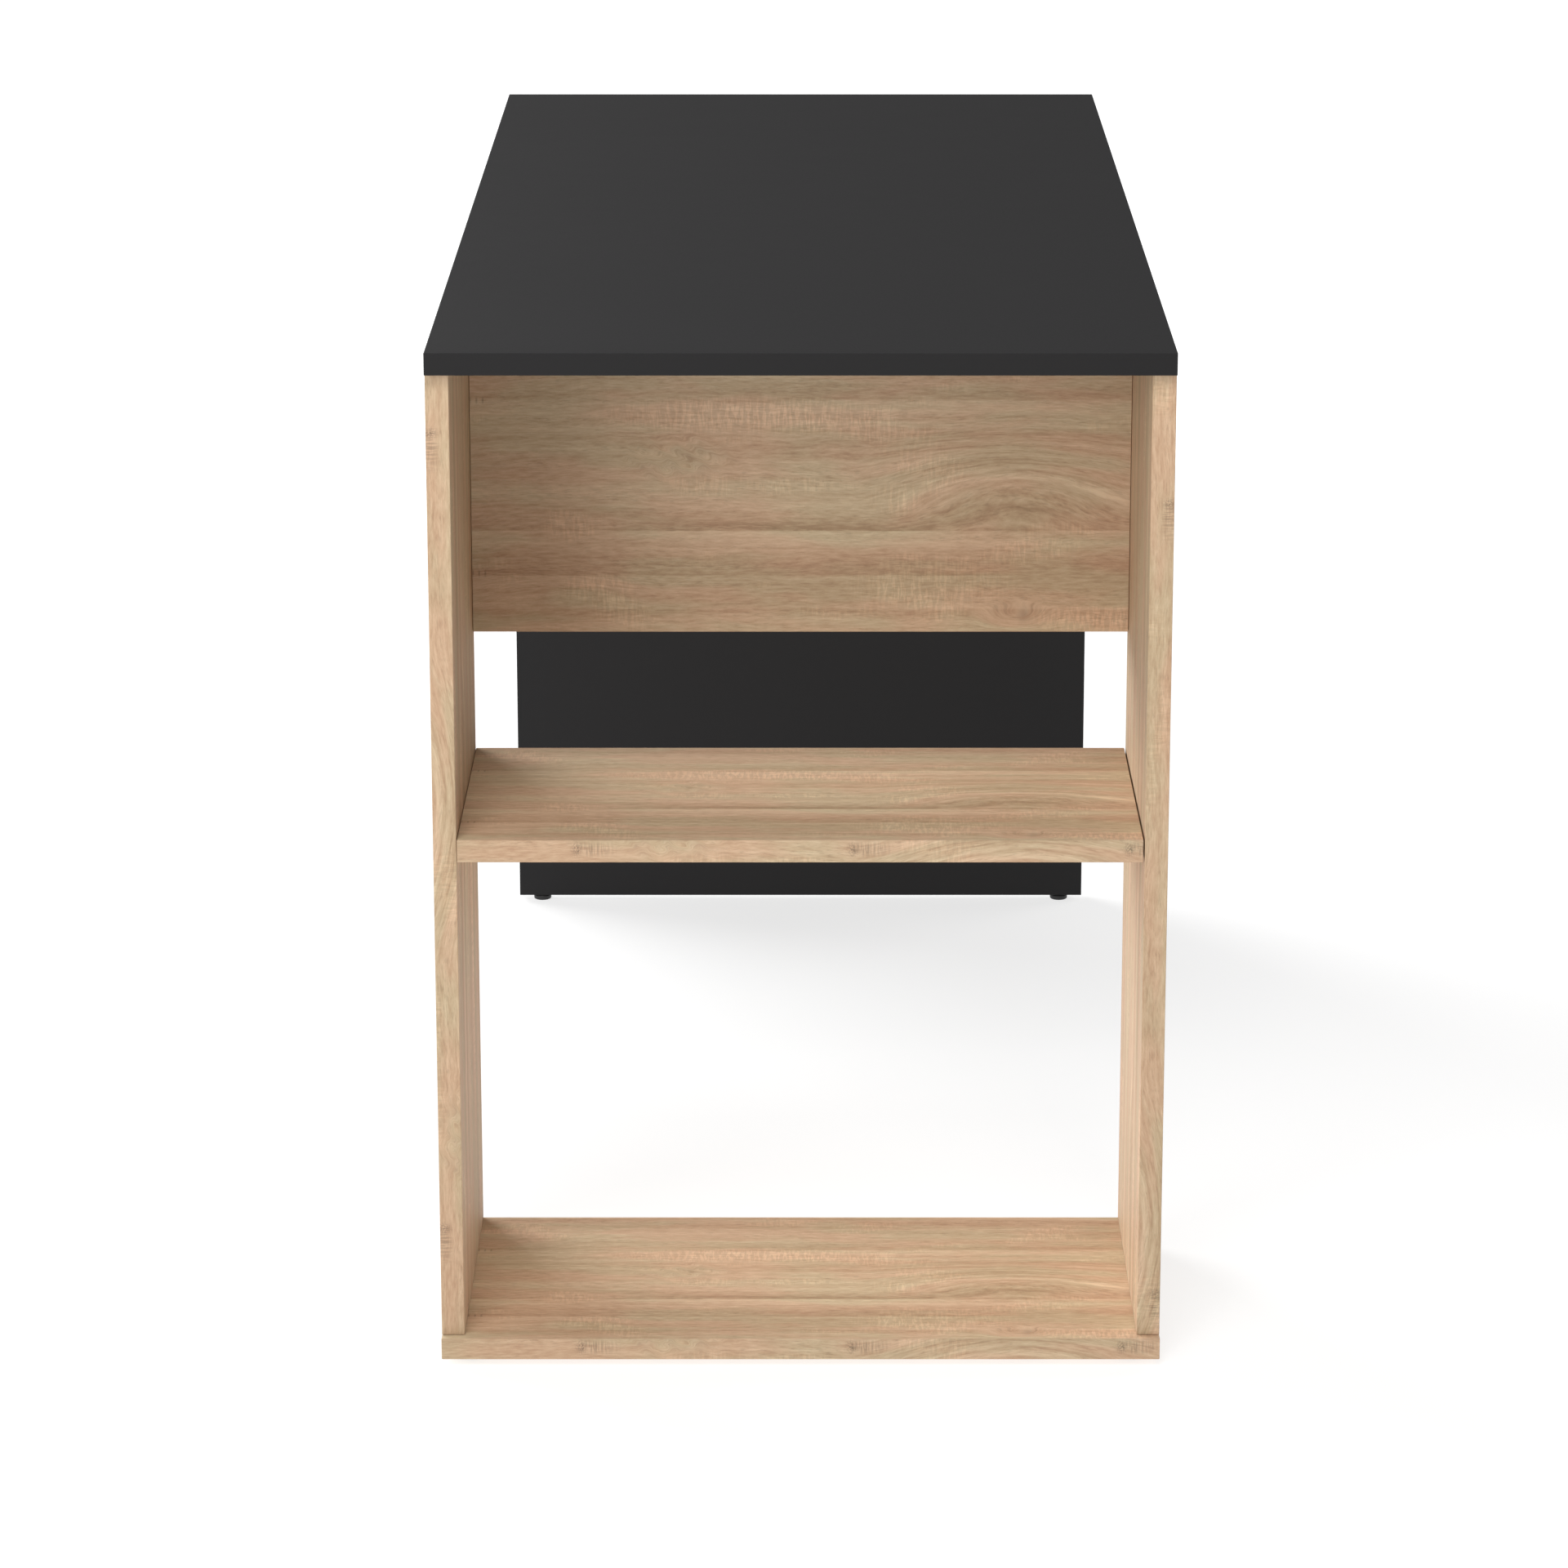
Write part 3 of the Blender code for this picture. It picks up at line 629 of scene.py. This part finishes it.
def crossShape(length, width, low, high):  # a plus sign with its own wall, for cutting
    shape = bmesh.new()
    bmesh.ops.create_cube(shape, size=1, matrix=Matrix.Diagonal((width, width, high - low, 1)))
    for axis, sign in ((0, 1), (0, -1), (1, 1), (1, -1)):
        side = []
        for face in shape.faces:  # the middle block's own side, not the end of an arm
            if face.normal[axis] * sign > 0.9 and abs(face.calc_center_median()[axis]) < width:
                side.append(face)
        grown = bmesh.ops.extrude_face_region(shape, geom=side)
        verts = [item for item in grown["geom"] if isinstance(item, bmesh.types.BMVert)]
        move = Vector((0, 0, 0))
        move[axis] = sign * (length - width) / 2
        bmesh.ops.translate(shape, verts=verts, vec=move)
        bmesh.ops.delete(shape, geom=side, context="FACES_ONLY")
    bmesh.ops.translate(shape, verts=shape.verts, vec=(0, 0, (low + high) / 2))
    bmesh.ops.recalc_face_normals(shape, faces=shape.faces)
    return shape


def cutShape(shape, cutters):  # takes the cutters out of the shape
    made = []
    for number, part in enumerate([shape] + cutters):
        mesh = bpy.data.meshes.new("scratchMesh")
        part.to_mesh(mesh)
        part.free()
        item = bpy.data.objects.new("scratchItem", mesh)
        scene.collection.objects.link(item)
        made.append(item)
        if number:
            boolean = made[0].modifiers.new("cut", "BOOLEAN")
            boolean.operation = "DIFFERENCE"
            boolean.solver = "EXACT"
            boolean.object = item
    graph = bpy.context.evaluated_depsgraph_get()
    result = bmesh.new()
    result.from_object(made[0], graph)
    for item in made:
        bpy.data.objects.remove(item, do_unlink=True)
    bmesh.ops.remove_doubles(result, verts=result.verts, dist=weldGap)
    bmesh.ops.recalc_face_normals(result, faces=result.faces)
    return result


camSettings = {
    "radius": 0.0072, "sink": 0.0003, "depth": 0.0125, "rim": 0.00035, "sides": 64,
    "dish": 0.0004, "dishRadius": 0.0058, "slotLength": 0.0094, "slotWidth": 0.0018, "slotDepth": 0.0026,
    "mouthWidth": 0.0078, "mouthHeight": 0.0078, "mouthDepth": 0.0108, "middle": 0.008,
    "slotTop": 0.001,
    "proud": 0.0008,  # how far the mouth's cutter stands out of the rim
    "pointerPlace": 0.0064, "pointerSize": 0.0009, "pointerDepth": 0.0006,
}


def camShape():  # face up at z 0 of the board, the bolt comes in along +X
    cam = camSettings
    face, floor = -cam["sink"], -cam["depth"]
    profile = [
        (0, face - cam["dish"]), (cam["dishRadius"], face - cam["dish"]),
        (cam["dishRadius"] + cam["dish"], face), (cam["radius"], face),
        (cam["radius"], floor), (0, floor),
    ]
    body = turnedShape(rounded(profile, (3, 4), cam["rim"], 3), cam["sides"])
    slot = crossShape(cam["slotLength"], cam["slotWidth"], face - cam["slotDepth"], cam["slotTop"])
    mouth = bmesh.new()
    reach = cam["radius"] + cam["proud"]
    back = cam["mouthDepth"] - cam["radius"]  # the mouth goes this far past the middle
    size = (reach + back, cam["mouthWidth"], cam["mouthHeight"], 1)
    bmesh.ops.create_cube(mouth, size=1, matrix=Matrix.Diagonal(size))
    bmesh.ops.translate(mouth, verts=mouth.verts, vec=((reach - back) / 2, 0, -cam["middle"]))
    pointer = bmesh.new()  # small notch on the rim that shows where the mouth is
    bmesh.ops.create_cone(
        pointer, cap_ends=True, segments=3, radius1=cam["pointerSize"], radius2=cam["pointerSize"],
        depth=cam["pointerDepth"], matrix=Matrix.Translation((cam["pointerPlace"], 0, face)),
    )
    return cutShape(body, [slot, mouth, pointer])


glideSettings = {
    "radius": 0.00775, "rise": 0.0003, "height": 0.005, "rim": 0.0014, "waist": 0.0068, "flare": 0.0011,
    "shoulder": 0.0004, "seatRadius": 0.0033, "seatDepth": 0.00175, "boreRadius": 0.0013, "sides": 64,
}


def glideShape():  # board at z 0, the foot points down
    glide = glideSettings
    top, sole = -glide["rise"], -glide["height"]
    seat = sole + glide["seatDepth"]
    profile = [
        (glide["boreRadius"], top), (glide["waist"], top),
        (glide["radius"], top - glide["flare"]), (glide["radius"], sole),
        (glide["seatRadius"], sole), (glide["seatRadius"], seat),
        (glide["boreRadius"], seat), (glide["boreRadius"], top),
    ]
    outline = rounded(profile, (1, 2), glide["shoulder"], 3)
    corner = next(number for number, point in enumerate(outline) if point[1] == sole)
    outline = rounded(outline, (corner,), glide["rim"], 6)
    return turnedShape(outline, glide["sides"])


nailSettings = {
    "shank": 0.0011, "tip": 0.0105, "point": 0.0083, "head": 0.0030, "underHead": -0.0033, "rim": -0.00372,
    "dome": [(0.0024, -0.00415), (0.0014, -0.0043)], "round": 0.0002, "sides": 40,
}


def nailShape():  # domed head, shank up into the board
    nail = nailSettings
    profile = [
        (0, nail["tip"]), (nail["shank"], nail["point"]), (nail["shank"], nail["underHead"]),
        (nail["head"], nail["underHead"]), (nail["head"], nail["rim"]),
    ]
    profile += nail["dome"]
    profile.append((0, nail["dome"][-1][1]))
    return turnedShape(rounded(profile, (3, 4, 5), nail["round"], 3), nail["sides"])


screwSettings = {
    "head": 0.005, "rim": 0.0008, "cone": 0.0045, "shank": 0.0034, "shankEnd": 0.0125,
    "core": 0.0021, "coreStart": 0.0135, "crest": 0.0026, "pitch": 0.0026,
    "threadStart": 0.0140, "threadEnd": 0.0425, "rise": 0.42, "fall": 0.72,  # shares of the pitch
    "tip": [(0.0010, 0.0468), (0, 0.0470)], "round": 0.00025, "sides": 40,
    "socketRadius": 0.0023, "socketHeight": 0.0040, "socketMiddle": 0.0008,
}


def screwShape():  # head down at z 0, thread up into the upright
    screw = screwSettings
    profile = [(0, 0), (screw["head"], 0), (screw["head"], screw["rim"]), (screw["shank"], screw["cone"])]
    profile += [(screw["shank"], screw["shankEnd"]), (screw["core"], screw["coreStart"])]
    height = screw["threadStart"]
    while height < screw["threadEnd"]:  # ridges of the thread
        profile += [(screw["core"], height), (screw["crest"], height + screw["pitch"] * screw["rise"])]
        profile += [(screw["core"], height + screw["pitch"] * screw["fall"])]
        height += screw["pitch"]
    profile += screw["tip"]
    shape = turnedShape(rounded(profile, (1, 2), screw["round"], 3), screw["sides"])
    socket = bmesh.new()
    radius = screw["socketRadius"]
    bmesh.ops.create_cone(
        socket, cap_ends=True, segments=6, radius1=radius, radius2=radius, depth=screw["socketHeight"],
    )
    bmesh.ops.translate(socket, verts=socket.verts, vec=(0, 0, screw["socketMiddle"]))
    return cutShape(shape, [socket])


pinSettings = {
    "head": 0.0035, "headEnd": 0.0080, "ring": 0.0012, "shoulder": 0.0003,
    "shank": 0.0025, "shankEnd": -0.0090,
    "headRound": 0.0011, "shankRound": 0.0006, "sides": 48,
}


def pinShape():  # shank down -Z into the upright, head up under the shelf
    pin = pinSettings
    profile = [
        (0, pin["headEnd"]), (pin["head"], pin["headEnd"]), (pin["head"], pin["ring"]),
        (pin["head"], pin["shoulder"]), (pin["shank"], pin["shoulder"]),
        (pin["shank"], pin["shankEnd"]), (0, pin["shankEnd"]),
    ]
    profile = rounded(profile, (1,), pin["headRound"], 6)
    return turnedShape(rounded(profile, (len(profile) - 2,), pin["shankRound"], 4), pin["sides"])


def towards(direction):  # turns +Z towards a direction along one axis
    return Vector(direction).to_track_quat("Z", "Y").to_matrix().to_4x4()


def dressFittings():
    zinc = metalMaterial("camZinc", fromScreen(176, 177, 178), 0.42, 0.0009)
    bolt = metalMaterial("boltSteel", fromScreen(196, 192, 180), 0.32, 0.0006)
    screwed = metalMaterial("screwSteel", fromScreen(192, 192, 188), 0.34, 0.0006)
    pinned = metalMaterial("pinSteel", fromScreen(204, 204, 204), 0.26, 0.0006)
    nailed = metalMaterial("nailSteel", fromScreen(190, 190, 190), 0.30, 0.0006)
    plastic = plasticMaterial("glidePlastic", fromScreen(30, 30, 31))
    beech = beechMaterial("dowelBeech")
    # the way the cams in each panel look
    faces = {"tower": (0, 1, 0), "top": (0, 1, 0), "leg": (0, -1, 0), "modesty": (-1, 0, 0)}
    unturned = Matrix()
    for node in sorted(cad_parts):
        low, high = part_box(node)
        middle = (low + high) / 2
        overGlide = Vector((middle.x, middle.y, glideSettings["height"]))
        if node.startswith("cam_lock"):
            face = Vector(faces[node.split("_")[2]])
            boltAt = sum(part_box(node.replace("lock", "bolt")), Vector()) / 2
            mouth = boltAt - middle
            mouth -= face * mouth.dot(face)
            mouth.normalize()
            turn = Matrix((mouth, face.cross(mouth), face)).transposed().to_4x4()
            depth = camSettings["depth"] - camSettings["sink"]
            centre = middle + face * (depth / 2 + camSettings["sink"])
            setPiece("camLock" + node[8:], camShape(), turn, centre, zinc, node)
        elif node.startswith("glide_nail"):
            setPiece("glideNail" + node[10:], nailShape(), unturned, overGlide, nailed, node)
        elif node.startswith("glide"):
            foot = glideShape()
            setPiece("glideFoot" + node[5:], foot, unturned, overGlide, plastic, node)
        elif node.startswith("base_screw"):
            centre = Vector((middle.x, middle.y, low.z))
            setPiece("baseScrew" + node[10:], screwShape(), unturned, centre, screwed, node)
        elif node.startswith("shelf_pin"):
            side = 1 if middle.x < 0 else -1
            reach = high.x if side > 0 else low.x
            centre = Vector((reach - side * pinSettings["headEnd"], middle.y, middle.z))
            turn = towards((side, 0, 0))
            setPiece("shelfPin" + node[9:], pinShape(), turn, centre, pinned, node)
        elif node.startswith("cam_bolt"):
            dress(node, bolt)
        elif node.startswith("dowel"):
            dress(node, beech)
    print("fittings ready")


makeCamera(cameraSettings)
makeStudio(studioSettings)
dressBoards()
dressFittings()
